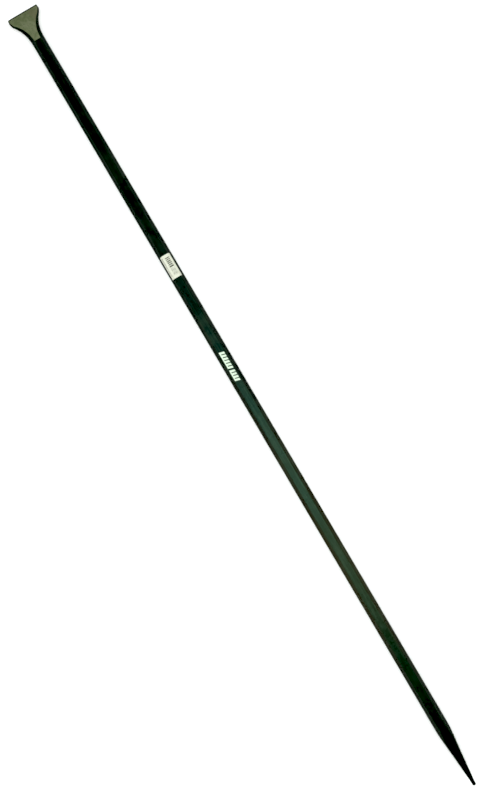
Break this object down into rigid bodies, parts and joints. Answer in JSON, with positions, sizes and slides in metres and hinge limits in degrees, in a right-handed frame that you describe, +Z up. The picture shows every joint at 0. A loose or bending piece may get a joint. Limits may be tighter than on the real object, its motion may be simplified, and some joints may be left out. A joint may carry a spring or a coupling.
{
  "type": "pry bar",
  "caption": "Long hexagonal steel pry bar lying on one flat, with a flared ground wedge at one end and a blunt pencil point at the other.",
  "frame": {"origin": "mid-length of the bar, on the surface it lies on, under its middle line", "axes": "+X along the bar towards the pencil point, with the flared wedge at -X; +Z up, square to the flat that carries the sticker and the print; +Y across the bar"},
  "size_m": [1.829, 0.0706, 0.0257],
  "materials": {
    "black_paint": "satin",
    "sticker_paper": "satin",
    "white_print": "satin"
  },
  "bodies": {
    "root": {"forged_bar": "black_paint", "barcode_label": "sticker_paper", "printed_mark": "white_print"}
  },
  "joints": []
}
